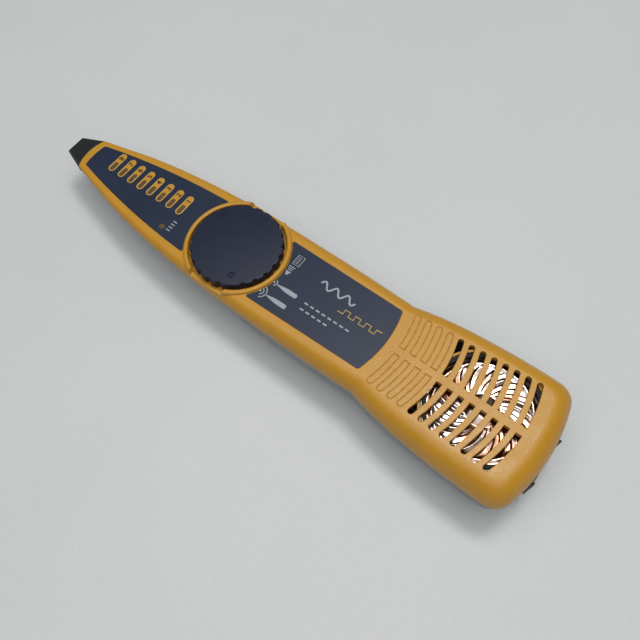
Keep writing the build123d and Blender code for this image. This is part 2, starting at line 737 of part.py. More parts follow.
with BuildPart() as battery:
    block((battery_front_x, battery_front_x + battery_length), (-battery_width / 2, battery_width / 2),
          (battery_z, battery_z + battery_height))
    fillet(battery.edges().filter_by(Axis.X), 2.0)
save(battery, "battery")

with BuildPart() as battery_terminals:
    for side_v, snap_radius in ((-6.35, 2.8), (6.35, 3.9)):
        with Locations(Location((battery_front_x - 1.5, side_v, battery_mid_z), (0, 90, 0))):
            Cylinder(snap_radius, 3.0)
            Cylinder(snap_radius - 0.7, 3.0, mode=Mode.SUBTRACT)
        with Locations(Location((battery_front_x - 0.3, side_v, battery_mid_z), (0, 90, 0))):
            Cylinder(snap_radius, 0.6)
save(battery_terminals, "battery_terminals")

with BuildPart() as contact_block:
    block((well_front_x, contact_x - 0.4), (-12.5, 12.5), (5, 16))
save(contact_block, "contact_block")

with BuildPart() as battery_contacts:
    for side_v in (-6.35, 6.35):
        block((contact_x - 0.4, contact_x), (side_v - 3.8, side_v + 3.8), (battery_mid_z - 3, battery_mid_z + 4.6))
        block((well_front_x - 0.6, contact_x - 0.4), (side_v - 1, side_v + 1), (16.6, 17.0))
        block((contact_x - 0.4, contact_x), (side_v - 1, side_v + 1), (battery_mid_z + 4.6, 17.0))
save(battery_contacts, "battery_contacts")

with BuildPart() as battery_door:
    block((door_front_x, door_rear_x), (-door_half, door_half), (0, door_thickness))
    fillet(battery_door.edges().filter_by(Axis.Z), 1.0)
    post(door_screw_x, 0, door_pad_radius, door_thickness - 0.1, door_pad_top)
    for tab_v in (-9, 9):
        block((96.2, 96.8), (tab_v - 2.5, tab_v + 2.5), (door_thickness - 0.1, 4.2))
    post(door_screw_x, 0, screw_head_radius + 0.15, -1, 1.25, mode=Mode.SUBTRACT)
    post(door_screw_x, 0, screw_radius + clearance, 0, door_pad_top + 1, mode=Mode.SUBTRACT)
    # Finger ridges: shallow grooves across the outer face
    for i in range(5):
        block((80 + 2.4 * i, 81.2 + 2.4 * i), (-7, 7), (-1, 0.4), mode=Mode.SUBTRACT)
save(battery_door, "battery_door")

with BuildPart() as battery_pad:
    block((58, 88), (-8, 8), (door_thickness, battery_z - clearance))
save(battery_pad, "battery_pad")

with BuildPart() as door_screw:
    post(door_screw_x, 0, screw_head_radius, 0.15, 1.15)
    post(door_screw_x, 0, screw_radius, 1.15, 9.0)
    with Locations((door_screw_x, 0, 0.4)):
        Box(3.2, 0.6, 0.6, mode=Mode.SUBTRACT)
        Box(0.6, 3.2, 0.6, mode=Mode.SUBTRACT)
save(door_screw, "door_screw")

with BuildPart() as housing_screws:
    for post_x, post_y in post_places:
        end_z = min(screw_end_z, face_height(post_x) - screw_end_depth)
        head_z = end_z - screw_length
        post(post_x, post_y, screw_radius, head_z - 0.2, end_z)
        post(post_x, post_y, screw_head_radius, head_z - screw_head_height, head_z)
        with Locations((post_x, post_y, head_z - screw_head_height + 0.4)):
            Box(3.2, 0.6, 0.9, mode=Mode.SUBTRACT)
            Box(0.6, 3.2, 0.9, mode=Mode.SUBTRACT)
save(housing_screws, "housing_screws")

# ---- Rear socket ---------------------------------------------------------------------
jack_mouth_x = 119.0
jack_low_z = jack_z - jack_height / 2
plug_low_z = jack_z - plug_height / 2
latch_half = 3.2
latch_depth = 1.6
bezel_low_z = jack_z - bezel_height / 2
bezel_top_z = jack_z + bezel_height / 2
bezel_round = 0.9

with BuildPart() as rj45_jack:
    block((jack_front_x, jack_mouth_x), (-jack_width / 2, jack_width / 2), (jack_low_z, jack_low_z + jack_height))
    block((jack_front_x + 2, jack_mouth_x + 1), (-plug_width / 2, plug_width / 2),
          (plug_low_z, plug_low_z + plug_height), mode=Mode.SUBTRACT)
    block((jack_mouth_x - 8, jack_mouth_x + 1), (-latch_half, latch_half), (plug_low_z - latch_depth, jack_z),
          mode=Mode.SUBTRACT)
save(rj45_jack, "rj45_jack")

with BuildPart() as rj45_contacts:
    contact_top = plug_low_z + plug_height
    for i in range(8):
        with BuildSketch(Plane.XZ.offset(-(i - 3.5) * 1.02 - 0.22)):
            with BuildLine():
                Polyline((jack_front_x + 2, contact_top), (jack_front_x + 10.5, contact_top),
                         (jack_front_x + 4.5, contact_top - 3.4), (jack_front_x + 4.5, contact_top - 3.0),
                         (jack_front_x + 9.3, contact_top - 0.35), (jack_front_x + 2, contact_top - 0.35),
                         close=True)
            make_face()
        extrude(amount=0.44)
save(rj45_contacts, "rj45_contacts")

with BuildPart() as jack_bezel:
    block((bezel_back_x, bezel_face_x), (-bezel_width / 2, bezel_width / 2), (bezel_low_z, bezel_top_z))
    for ear_y in (-bezel_width / 2, bezel_width / 2 - bezel_ear):
        block((bezel_back_x, rear_x), (ear_y, ear_y + bezel_ear), (bezel_low_z, bezel_top_z))
    fillet(jack_bezel.edges().filter_by(Axis.X).group_by(Axis.Y)[0], bezel_round)
    fillet(jack_bezel.edges().filter_by(Axis.X).group_by(Axis.Y)[-1], bezel_round)
    block((bezel_back_x - 1, jack_mouth_x + clearance),
          (-jack_width / 2 - clearance, jack_width / 2 + clearance),
          (jack_low_z - clearance, jack_low_z + jack_height + clearance), mode=Mode.SUBTRACT)
    block((bezel_back_x, rear_x), (-plug_width / 2, plug_width / 2), (plug_low_z, plug_low_z + plug_height),
          mode=Mode.SUBTRACT)
    block((bezel_back_x, rear_x), (-latch_half, latch_half), (plug_low_z - latch_depth, jack_z),
          mode=Mode.SUBTRACT)
save(jack_bezel, "jack_bezel")

jack_board_x = jack_front_x - 1.2
with BuildPart() as jack_board:
    block((jack_board_x, jack_front_x), (-9, 9), (4, 20))
save(jack_board, "jack_board")

# ---- Wiring --------------------------------------------------------------------------
ribbon_y = 16.0
ribbon_z = 13.0
with BuildPart() as jack_ribbon:
    with BuildLine():
        ribbon_path = Polyline((jack_board_x - 1, 9.4, ribbon_z), (99.6, ribbon_y, ribbon_z),
                               (44, ribbon_y, ribbon_z), (37.2, 9.0, ribbon_z))
    with BuildSketch(Plane(origin=ribbon_path @ 0, z_dir=ribbon_path % 0, x_dir=(0, 0, 1))):
        Rectangle(9, 0.8)
    sweep(transition=Transition.RIGHT)
save(jack_ribbon, "jack_ribbon")

lead_radius = 0.5
lead_rise = 0.6  # the leads end this far above the board
with BuildPart() as speaker_leads:
    for side in (-1, 1):
        with BuildLine():
            lead_path = Spline(face_plane.from_local_coords((terminal_u, 2.5 * side, flange_base - 2.2)),
                               (64, 2.5 * side, 22.8), (56, 3 * side, 21.6), (46, 4 * side, 21.0),
                               (34, 6 * side, board_top + lead_rise))
        with BuildSketch(Plane(origin=lead_path @ 0, z_dir=lead_path % 0)):
            Circle(lead_radius)
        sweep()
save(speaker_leads, "speaker_leads")

with BuildPart() as battery_leads:
    for side in (-1, 1):
        with BuildLine():
            lead_path = Spline((45.2, 6.35 * side, 17.8), (40, 7.5 * side, 18.8),
                               (34.5, 8.5 * side, board_top + lead_rise))
        with BuildSketch(Plane(origin=lead_path @ 0, z_dir=lead_path % 0)):
            Circle(lead_radius)
        sweep()
save(battery_leads, "battery_leads")
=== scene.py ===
"""Looks for the tone probe: materials, printed marks, the speaker's film and a small studio."""
import json
import math
import bmesh
import bpy
from mathutils import Matrix, Vector


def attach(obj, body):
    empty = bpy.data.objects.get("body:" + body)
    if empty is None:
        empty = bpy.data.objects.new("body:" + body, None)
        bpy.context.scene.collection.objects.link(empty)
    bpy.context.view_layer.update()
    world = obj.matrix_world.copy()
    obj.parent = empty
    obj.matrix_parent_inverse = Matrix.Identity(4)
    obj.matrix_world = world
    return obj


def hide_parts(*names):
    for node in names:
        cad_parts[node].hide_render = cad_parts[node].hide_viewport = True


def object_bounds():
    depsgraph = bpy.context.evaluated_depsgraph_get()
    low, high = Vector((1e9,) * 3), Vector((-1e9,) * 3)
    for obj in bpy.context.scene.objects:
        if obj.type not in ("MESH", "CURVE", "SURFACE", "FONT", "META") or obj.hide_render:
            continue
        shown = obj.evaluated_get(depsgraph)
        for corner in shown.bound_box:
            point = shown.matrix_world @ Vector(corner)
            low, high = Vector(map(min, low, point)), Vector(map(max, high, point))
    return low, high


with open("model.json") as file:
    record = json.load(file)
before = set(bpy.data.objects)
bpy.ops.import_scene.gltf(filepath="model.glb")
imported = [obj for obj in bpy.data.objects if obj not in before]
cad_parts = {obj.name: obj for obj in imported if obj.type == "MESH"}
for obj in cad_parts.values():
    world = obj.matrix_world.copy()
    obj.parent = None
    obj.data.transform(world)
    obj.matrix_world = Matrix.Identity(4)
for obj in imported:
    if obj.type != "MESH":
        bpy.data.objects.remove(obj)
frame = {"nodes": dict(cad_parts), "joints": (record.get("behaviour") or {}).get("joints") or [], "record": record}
cad_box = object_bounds()

MM = 0.001
nodes = frame["nodes"]
joints = {joint["name"]: joint for joint in frame["joints"]}

# ---- Places, all taken from the frame -------------------------------------------------
# The dial's joint stands on the control face, so its axis gives the face's own frame:
# u runs along the face to the rear, v across it and w out of it, in millimetres.
face_origin = Vector(joints["dial_turn"]["pos_m"])
face_out = Vector(joints["dial_turn"]["axis"]).normalized()
face_across = Vector((0, 1, 0))
face_along = face_across.cross(face_out)


def on_face(u, v, w=0.0):
    """A point of the control face, from millimetres to the frame's metres."""
    return face_origin + (face_along * u + face_across * v + face_out * w) * MM


def face_coords(point):
    """Along, across and above the control face, in millimetres, of a point in the frame."""
    offset = Vector(point) - face_origin
    return offset.dot(face_along) / MM, offset.dot(face_across) / MM, offset.dot(face_out) / MM


def node_range(node):
    """Lowest and highest face coordinates of a CAD node."""
    coords = [face_coords(vertex.co) for vertex in nodes[node].data.vertices]
    return [min(c[i] for c in coords) for i in range(3)], [max(c[i] for c in coords) for i in range(3)]


lens_low, lens_high = node_range("wiremap_lenses")
lens_width = 1.8
lens_to_pad = 2.4               # from a lens's middle to its pad's, across the face
window_count = 8
window_length = 10.4
window_width = 3.2
window_v = (lens_low[1] + lens_high[1]) / 2 + lens_to_pad
window_first_u = lens_low[0] + lens_width / 2
window_pitch = (lens_high[0] - lens_low[0] - lens_width) / (window_count - 1)
window_us = [window_first_u + window_pitch * i for i in range(window_count)]


# ---- Material helpers -----------------------------------------------------------------
def srgb(red, green, blue):
    """A colour given as 0 to 255 display values, made linear."""
    channels = [value / 255 for value in (red, green, blue)]
    return [c / 12.92 if c <= 0.04045 else ((c + 0.055) / 1.055) ** 2.4 for c in channels] + [1.0]


def shaded(colour, share):
    """The same colour at a share of its brightness."""
    return [channel * share for channel in colour[:3]] + [1.0]


class Shader:
    """A material under construction: add nodes by name and wire them by socket."""

    def __init__(self, name):
        self.material = bpy.data.materials.new(name)
        self.material.use_nodes = True
        self.tree = self.material.node_tree
        self.tree.nodes.clear()
        self.output = self.tree.nodes.new("ShaderNodeOutputMaterial")
        self.bsdf = self.add("BsdfPrincipled")
        self.tree.links.new(self.bsdf.outputs["BSDF"], self.output.inputs["Surface"])
        self.place = self.add("TexCoord").outputs["Object"]

    def add(self, kind, **settings):
        """A new node of a kind, with its settings."""
        node = self.tree.nodes.new("ShaderNode" + kind)
        for key, value in settings.items():
            setattr(node, key, value)
        return node

    def feed(self, socket, value):
        """Link a socket to another one, or give it a number or tuple."""
        if isinstance(value, bpy.types.NodeSocket):
            self.tree.links.new(value, socket)
        else:
            socket.default_value = value

    def set(self, node, **values):
        """Feed inputs by name, with an underscore for each space."""
        for key, value in values.items():
            self.feed(node.inputs[key.replace("_", " ")], value)
        return node

    def noise(self, size_mm, detail=2.0, roughness=0.5, stretch=(1, 1, 1)):
        """Smooth noise whose blobs are about size_mm across."""
        place = self.place
        if stretch != (1, 1, 1):
            place = self.set(self.add("Mapping"), Vector=place, Scale=stretch).outputs["Vector"]
        node = self.set(self.add("TexNoise"), Vector=place, Scale=1000.0 / size_mm, Detail=detail,
                        Roughness=roughness)
        return node.outputs["Fac"]

    def cells(self, size_mm):
        """Distance to the nearest of many scattered points about size_mm apart."""
        node = self.set(self.add("TexVoronoi"), Vector=self.place, Scale=1000.0 / size_mm)
        return node.outputs["Distance"]

    def ramp(self, factor, low=0.3, high=0.7, low_value=0.0, high_value=1.0):
        """Map a factor between two stops to two values, clamped."""
        node = self.add("MapRange", clamp=True)
        self.set(node, Value=factor, From_Min=low, From_Max=high, To_Min=low_value, To_Max=high_value)
        return node.outputs["Result"]

    def math(self, operation, a, b=0.0):
        """Work out one sum from two numbers or sockets."""
        node = self.add("Math", operation=operation)
        for socket, value in zip(node.inputs, (a, b)):
            self.feed(socket, value)
        return node.outputs["Value"]

    def mix(self, factor, a, b):
        """Mix two colours. The node's colour sockets stand behind those for numbers and vectors."""
        node = self.add("Mix", data_type="RGBA")
        first_colour, second_colour, colour_result = node.inputs[6], node.inputs[7], node.outputs[2]
        for socket, value in ((node.inputs["Factor"], factor), (first_colour, a), (second_colour, b)):
            self.feed(socket, value)
        return colour_result

    def rounded(self, radius_mm):
        """Normals that run round sharp edges, as a real moulding's do."""
        return self.set(self.add("Bevel", samples=6), Radius=radius_mm * MM).outputs["Normal"]

    def edge_mask(self, radius_mm):
        """1 near edges and 0 on open surfaces, from how far the rounded normals lean."""
        agreement = self.add("VectorMath", operation="DOT_PRODUCT")
        self.feed(agreement.inputs[0], self.add("NewGeometry").outputs["Normal"])
        self.feed(agreement.inputs[1], self.rounded(radius_mm))
        return self.ramp(agreement.outputs["Value"], 0.995, 0.90)

    def bump(self, height, depth_mm, normal=None):
        """Normals tilted by a height, on top of other normals if any are given."""
        node = self.set(self.add("Bump"), Strength=1.0, Distance=depth_mm * MM, Height=height)
        if normal is not None:
            self.feed(node.inputs["Normal"], normal)
        return node.outputs["Normal"]


def moulded(name, colour, grain_mm=0.45, depth_mm=0.02, rough=(0.42, 0.6), shade=0.82, edge=0.35, wear=None,
            specular=0.5, dirt=0.0):
    """Spark-textured moulded plastic: a pebbled grain, faint mottling, and paler or darker worn edges."""
    shader = Shader(name)
    mottle = shader.noise(14, detail=4, roughness=0.6)
    fine = shader.noise(grain_mm, detail=2, roughness=0.6)
    pebbles = shader.cells(grain_mm * 1.1)
    dark = shaded(colour, shade)
    tone = shader.mix(shader.ramp(mottle), dark, colour)
    grain_tone = shader.mix(shader.ramp(fine, 0.35, 0.65, 0.0, 0.35), tone, dark)
    if wear:
        scuffs = shader.ramp(shader.noise(2.2, detail=3), 0.45, 0.62)
        rubbed = shader.math("MULTIPLY", shader.edge_mask(0.5), scuffs)
        grain_tone = shader.mix(shader.math("MULTIPLY", rubbed, 0.55), grain_tone, wear)
    if dirt:
        specks = shader.ramp(shader.noise(1.1, detail=3, roughness=0.7), 0.70, 0.76)
        patches = shader.ramp(shader.noise(24, detail=2), 0.55, 0.7)
        spots = shader.math("MULTIPLY", shader.math("MULTIPLY", specks, patches), dirt)
        grain_tone = shader.mix(spots, grain_tone, srgb(96, 62, 28))
    height = shader.math("ADD", fine, shader.math("MULTIPLY", pebbles, 0.7))
    normal = shader.bump(height, depth_mm, normal=shader.rounded(edge))
    roughness = shader.ramp(shader.noise(5, detail=4, roughness=0.65), 0.3, 0.7, *rough)
    shader.set(shader.bsdf, Base_Color=grain_tone, Roughness=roughness, Normal=normal,
               Specular_IOR_Level=specular)
    return shader.material


def metal(name, colour, rough=(0.25, 0.45), streak=(1, 1, 1), depth_mm=0.004, grain_mm=0.5):
    """Plated or ground metal with fine streaks and smudges."""
    shader = Shader(name)
    streaks = shader.noise(grain_mm, detail=3, stretch=streak)
    smudge = shader.noise(6, detail=3)
    dark = shaded(colour, 0.75)
    shader.set(shader.bsdf, Base_Color=shader.mix(shader.ramp(smudge), dark, colour), Metallic=1.0,
               Roughness=shader.ramp(streaks, 0.3, 0.7, *rough),
               Normal=shader.bump(streaks, depth_mm, normal=shader.rounded(0.15)))
    return shader.material


def film_label(name, colour, tint):
    """Printed polycarbonate: even satin sheet with a fine stipple and faint rub marks."""
    shader = Shader(name)
    stipple = shader.noise(0.35, detail=2)
    cloud = shader.noise(18, detail=3)
    rubs = shader.noise(7, detail=4, roughness=0.7, stretch=(1, 6, 1))
    tone = shader.mix(shader.ramp(cloud), colour, tint)
    scuffed = shader.mix(shader.ramp(rubs, 0.62, 0.75, 0.0, 0.12), tone, srgb(80, 88, 106))
    shader.set(shader.bsdf, Base_Color=scuffed, Roughness=shader.ramp(rubs, 0.3, 0.75, 0.34, 0.5),
               Normal=shader.bump(stipple, 0.012), Specular_IOR_Level=0.4)
    return shader.material


def ink(name, colour):
    """Screen-printed ink, slightly thin in places."""
    shader = Shader(name)
    thin = shader.noise(0.6, detail=3)
    dark = shaded(colour, 0.78)
    shader.set(shader.bsdf, Base_Color=shader.mix(shader.ramp(thin, 0.35, 0.7), dark, colour), Roughness=0.5,
               Normal=shader.bump(thin, 0.005))
    return shader.material


def smoked_lens(name):
    """Smoky lamp window, with painted shade darkening its rim."""
    shader = Shader(name)
    swirl = shader.noise(0.9, detail=2)
    tone = shader.mix(shader.ramp(swirl), srgb(84, 66, 40), srgb(104, 84, 52))
    # painted shade round the lens rim, where it sits in its pad
    tone = shader.mix(shader.math("MULTIPLY", shader.edge_mask(0.3), 0.4), tone, srgb(66, 52, 32))
    shader.set(shader.bsdf, Base_Color=tone, Roughness=0.28, Coat_Weight=0.4,
               Normal=shader.bump(swirl, 0.004, normal=shader.rounded(0.2)))
    return shader.material


def mirror_film(name):
    """Metallised speaker film: bright, faintly warm, softly crinkled, with coppery patches in places that paint a
    reflection of the brown grille.
    """
    shader = Shader(name)
    patches = shader.noise(11, detail=2, roughness=0.5)
    crinkle = shader.noise(7.0, detail=2, roughness=0.4)
    # painted reflection: the coppery patches stand for the brown grille mirrored in the film
    tone = shader.mix(shader.ramp(patches, 0.42, 0.58), srgb(170, 160, 154), srgb(152, 108, 86))
    shader.set(shader.bsdf, Base_Color=tone, Metallic=1.0,
               Roughness=shader.ramp(crinkle, 0.3, 0.7, 0.1, 0.16), Normal=shader.bump(crinkle, 0.12))
    return shader.material


def rubbery(name, colour, grain_mm=0.6):
    """Matt rubber or foam with open pores."""
    shader = Shader(name)
    pores = shader.cells(grain_mm)
    pale = [min(1.0, c * 1.6 + 0.01) for c in colour[:3]] + [1.0]
    shader.set(shader.bsdf, Base_Color=shader.mix(shader.ramp(pores, 0.2, 0.6), colour, pale),
               Roughness=shader.ramp(shader.noise(3), 0.3, 0.7, 0.75, 0.95),
               Normal=shader.bump(pores, 0.05, normal=shader.rounded(0.3)))
    return shader.material


def board_mask(name):
    """Solder mask with darker woven cloth under it and faint copper runs."""
    shader = Shader(name)
    weave = shader.set(shader.add("TexChecker"), Vector=shader.place, Scale=2500.0,
                       Color1=srgb(18, 78, 40), Color2=srgb(24, 92, 48)).outputs["Color"]
    runs = shader.set(shader.add("TexWave"), Vector=shader.place, Scale=260.0, Distortion=6.0).outputs["Fac"]
    tone = shader.mix(shader.ramp(runs, 0.82, 0.9, 0.0, 0.5), weave, srgb(70, 130, 70))
    shader.set(shader.bsdf, Base_Color=tone, Roughness=shader.ramp(runs, 0.2, 0.8, 0.3, 0.42),
               Normal=shader.bump(runs, 0.03))
    return shader.material


YELLOW = srgb(200, 144, 36)
# a paler copy of the shell yellow, a painted highlight for the window rims
YELLOW_PAINTED_HIGHLIGHT = srgb(212, 166, 76)
GREY = srgb(142, 145, 148)
NAVY = srgb(24, 36, 58)
NAVY_DEEP = srgb(20, 30, 54)
WHITE_INK = srgb(168, 173, 182)

finishes = {
    "shell_yellow": moulded("shell_yellow", YELLOW, grain_mm=0.6, depth_mm=0.045, rough=(0.3, 0.44),
                            shade=0.93, edge=0.45, wear=srgb(226, 180, 96), dirt=0.5),
    "shell_grey": moulded("shell_grey", GREY, grain_mm=0.8, depth_mm=0.05, rough=(0.42, 0.58), shade=0.86,
                          wear=srgb(172, 175, 178)),
    "tip_black": moulded("tip_black", srgb(30, 33, 33), grain_mm=0.35, depth_mm=0.01, rough=(0.35, 0.5),
                         shade=0.8, wear=srgb(70, 72, 72)),
    "label_navy": film_label("label_navy", NAVY, srgb(28, 40, 64)),
    "dial_navy": moulded("dial_navy", NAVY_DEEP, grain_mm=0.5, depth_mm=0.04, rough=(0.34, 0.46), shade=0.85,
                         edge=0.3, wear=srgb(52, 62, 88), specular=0.4),
    "lens_smoke": smoked_lens("lens_smoke"),
    "film_metal": mirror_film("film_metal"),
    "gasket_black": rubbery("gasket_black", srgb(22, 22, 23)),
    "basket_steel": metal("basket_steel", srgb(120, 118, 114)),
    "magnet_grey": rubbery("magnet_grey", srgb(66, 66, 68), 0.9),
    "copper_wire": metal("copper_wire", srgb(196, 122, 74), streak=(1, 1, 12), grain_mm=0.2),
    "contact_gold": metal("contact_gold", srgb(222, 184, 108)),
    "board_green": board_mask("board_green"),
    "chip_black": moulded("chip_black", srgb(34, 34, 36), grain_mm=0.3, rough=(0.5, 0.7)),
    "led_white": moulded("led_white", srgb(220, 218, 206), grain_mm=0.3, rough=(0.35, 0.5)),
    "steel_screw": metal("steel_screw", srgb(128, 130, 134), streak=(8, 1, 1)),
    "jack_black": moulded("jack_black", srgb(27, 27, 29), grain_mm=0.4, rough=(0.35, 0.5),
                          wear=srgb(80, 80, 82)),
    "battery_jacket": moulded("battery_jacket", srgb(58, 62, 70), grain_mm=0.6, depth_mm=0.01,
                              rough=(0.25, 0.4)),
    "wire_red": moulded("wire_red", srgb(168, 34, 28), grain_mm=0.3, depth_mm=0.01, rough=(0.35, 0.5)),
    "foam_grey": rubbery("foam_grey", srgb(58, 58, 60), 1.0),
    "antenna_brass": metal("antenna_brass", srgb(206, 172, 100), streak=(1, 10, 10)),
    "switch_plastic": moulded("switch_plastic", srgb(44, 44, 47), grain_mm=0.4),
}


def shade_smooth(mesh, crisp_above):
    """Smooth a mesh's curved faces, and keep edges sharper than an angle in degrees crisp."""
    mesh.polygons.foreach_set("use_smooth", [True] * len(mesh.polygons))
    mesh.set_sharp_from_angle(angle=math.radians(crisp_above))


def dress_cad_nodes():
    """Give every CAD node the finish of its material slot."""
    slots = {part["node"]: part["material_slot"] for part in frame["record"]["subparts"]}
    for name, node in nodes.items():
        node.data.materials.clear()
        node.data.materials.append(finishes[slots[name]])
        shade_smooth(node.data, 28)


dress_cad_nodes()


# ---- Mesh helpers ---------------------------------------------------------------------
def piece(name, mesh, material, body):
    """Put a finished mesh on a body under a name."""
    thing = bpy.data.objects.new(name, mesh)
    bpy.context.scene.collection.objects.link(thing)
    mesh.materials.clear()
    mesh.materials.append(material)
    shade_smooth(mesh, 35)
    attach(thing, body)
    return thing


def mesh_from(build):
    """A mesh filled in by a function that works on a bmesh."""
    weld_mm = 0.0005
    mesh = bpy.data.meshes.new("mesh")
    work = bmesh.new()
    build(work)
    bmesh.ops.remove_doubles(work, verts=work.verts, dist=weld_mm * MM)
    bmesh.ops.recalc_face_normals(work, faces=work.faces)
    work.to_mesh(mesh)
    work.free()
    return mesh


PRINT_LOW = 0.0
PRINT_HIGH = 0.05


def add_plate(work, outline, low=PRINT_LOW, high=PRINT_HIGH):
    """A thin closed plate on the control face, from a flat outline in u and v."""
    bottom = [work.verts.new(on_face(u, v, low)) for u, v in outline]
    top = [work.verts.new(on_face(u, v, high)) for u, v in outline]
    work.faces.new(top)
    work.faces.new(list(reversed(bottom)))
    for i in range(len(outline)):
        j = (i + 1) % len(outline)
        work.faces.new((bottom[i], bottom[j], top[j], top[i]))


def stroke(work, points, width, closed=False, low=PRINT_LOW, high=PRINT_HIGH):
    """A printed line of even width along points in u and v."""
    count = len(points)
    left, right = [], []
    for i, point in enumerate(points):
        before = Vector(points[(i - 1) % count] if closed or i > 0 else point)
        after = Vector(points[(i + 1) % count] if closed or i < count - 1 else point)
        direction = (after - before).normalized()
        side = Vector((-direction.y, direction.x)) * width / 2
        left.append(tuple(Vector(point) + side))
        right.append(tuple(Vector(point) - side))
    steps = count if closed else count - 1
    rings = [[work.verts.new(on_face(*line[i], level)) for line in (left, right) for level in (low, high)]
             for i in range(count)]
    for i in range(steps):
        a, b = rings[i], rings[(i + 1) % count]
        for p, q in ((0, 1), (1, 3), (3, 2), (2, 0)):
            work.faces.new((a[p], a[q], b[q], b[p]))
    if not closed:
        work.faces.new((rings[0][0], rings[0][2], rings[0][3], rings[0][1]))
        work.faces.new((rings[-1][0], rings[-1][1], rings[-1][3], rings[-1][2]))


def arc_points(centre, radius, start, end, count=24):
    """Points along an arc in u and v, between two angles in degrees."""
    angles = [math.radians(start + (end - start) * i / (count - 1)) for i in range(count)]
    return [(centre[0] + radius * math.cos(angle), centre[1] + radius * math.sin(angle)) for angle in angles]


def stadium(u, v, length, width, per_end=14):
    """Outline of a rounded window, long across the face."""
    reach = (length - width) / 2
    right = arc_points((u, v + reach), width / 2, 0, 180, per_end)
    left = arc_points((u, v - reach), width / 2, 180, 360, per_end)
    return right + left


# ---- Printed marks --------------------------------------------------------------------
def add_digits():
    """Black digits 8 to 1 at the far end of the windows, read with the tip upwards."""
    size, half_depth, boldness, from_pad_middle = 3.5, 0.03, 0.07, 2.55
    black = ink("digit_ink", srgb(30, 26, 22))
    for i, u in enumerate(window_us):
        digit = str(window_count - i)
        curve = bpy.data.curves.new("digit", "FONT")
        curve.body = digit
        curve.size = size * MM
        curve.extrude = half_depth * MM
        curve.offset = boldness * MM
        curve.align_x = "CENTER"
        curve.align_y = "CENTER"
        holder = bpy.data.objects.new("digit_holder", curve)
        bpy.context.scene.collection.objects.link(holder)
        bpy.context.view_layer.update()
        mesh = bpy.data.meshes.new_from_object(holder)
        bpy.data.objects.remove(holder)
        place = Matrix((face_across, -face_along, face_out)).transposed().to_4x4()
        place.translation = on_face(u, window_v + from_pad_middle, half_depth)
        mesh.transform(place)
        piece("window_digit_" + digit, mesh, black, "housing")


def add_window_rims():
    """A slim raised rim round each yellow window pad, in a paler yellow that paints its highlight."""
    inset, width, low, high = 0.4, 0.42, -0.1, 0.12
    # painted highlight: the rim gets a paler copy of the shell yellow
    pale = moulded("rim_painted_highlight", YELLOW_PAINTED_HIGHLIGHT, grain_mm=0.4, depth_mm=0.01, edge=0.1)

    def build(work):
        for u in window_us:
            outline = stadium(u, window_v, window_length - inset, window_width - inset)
            stroke(work, outline, width, closed=True, low=low, high=high)

    piece("window_rims", mesh_from(build), pale, "housing")


def add_pictograms():
    """Plain signs beside the dial: a probe with strong and weak waves, a loudspeaker and a plug."""
    white = ink("pictogram_ink", WHITE_INK)

    def probe_shape(tip_u, v):
        """A slender probe seen from above, its tip towards the dial."""
        point, shoulder, grip, tail = 0.22, 0.8, 0.98, 0.6
        side = [(0.0, point), (3.4, shoulder), (5.2, grip), (9.0, grip), (9.6, tail)]
        return ([(tip_u + along, v - half) for along, half in side]
                + [(tip_u + along, v + half) for along, half in reversed(side)])

    def build_probe_signs(work):
        strong = (23.7, -10.5, (1.45, 2.75))
        weak = (24.4, -4.3, (1.3,))
        source_radius, source_gap, source_v = 0.4, 0.5, 0.25
        wave_spread, wave_width = 72, 0.42
        for tip_u, v, radii in (strong, weak):
            add_plate(work, probe_shape(tip_u, v))
            source = (tip_u - radii[-1] - source_gap, v + source_v)
            add_plate(work, arc_points(source, source_radius, 0, 345, 16))
            for radius in radii:
                stroke(work, arc_points(source, radius, -wave_spread, wave_spread), wave_width)

    def build_speaker_sign(work):
        u, v = 24.1, 2.3
        back, throat, mouth = (0.55, -0.9), (0.6, -0.1), (1.35, 0.85)
        halves = (back, throat, mouth)
        add_plate(work, [(u - back[0], v + back[1])] + [(u + half, v + out) for half, out in halves]
                  + [(u - half, v + out) for half, out in (mouth, throat)])
        first_v, pitch, first_half, growth, width = 1.6, 0.85, 1.0, 0.25, 0.32
        for i in range(3):
            bar_v = v + first_v + pitch * i
            half = first_half + growth * i
            stroke(work, [(u - half, bar_v), (u + half, bar_v)], width)

    def build_plug_sign(work):
        u, v = 24.6, 9.3
        half_u, half_v, frame_width = 1.5, 2.3, 0.36
        stroke(work, [(u - half_u, v - half_v), (u - half_u, v + half_v), (u + half_u, v + half_v),
                      (u + half_u, v - half_v)], frame_width, closed=True)
        contact_low, contact_high, contact_width, contact_pitch, contacts = -0.8, 0.5, 0.34, 0.9, 4
        for i in range(contacts):
            contact_v = v + contact_pitch * (i - (contacts - 1) / 2)
            stroke(work, [(u + contact_low, contact_v), (u + contact_high, contact_v)], contact_width)

    piece("probe_signs", mesh_from(build_probe_signs), white, "housing")
    piece("speaker_sign", mesh_from(build_speaker_sign), white, "housing")
    piece("plug_sign", mesh_from(build_plug_sign), white, "housing")


def add_sync_ticks():
    """Four short ticks beside the small lamp."""
    sync_low, sync_high = node_range("sync_lens")
    lamp_gap, start_inset = 3.4, 1.2
    u = (sync_low[0] + sync_high[0]) / 2 + lamp_gap
    first_v = sync_high[1] - start_inset
    half_length, width, pitch, ticks = 0.95, 0.5, 1.55, 4

    def build(work):
        for i in range(ticks):
            v = first_v + pitch * i
            stroke(work, [(u - half_length, v), (u + half_length, v)], width)

    piece("sync_ticks", mesh_from(build), ink("sync_ink", WHITE_INK), "housing")


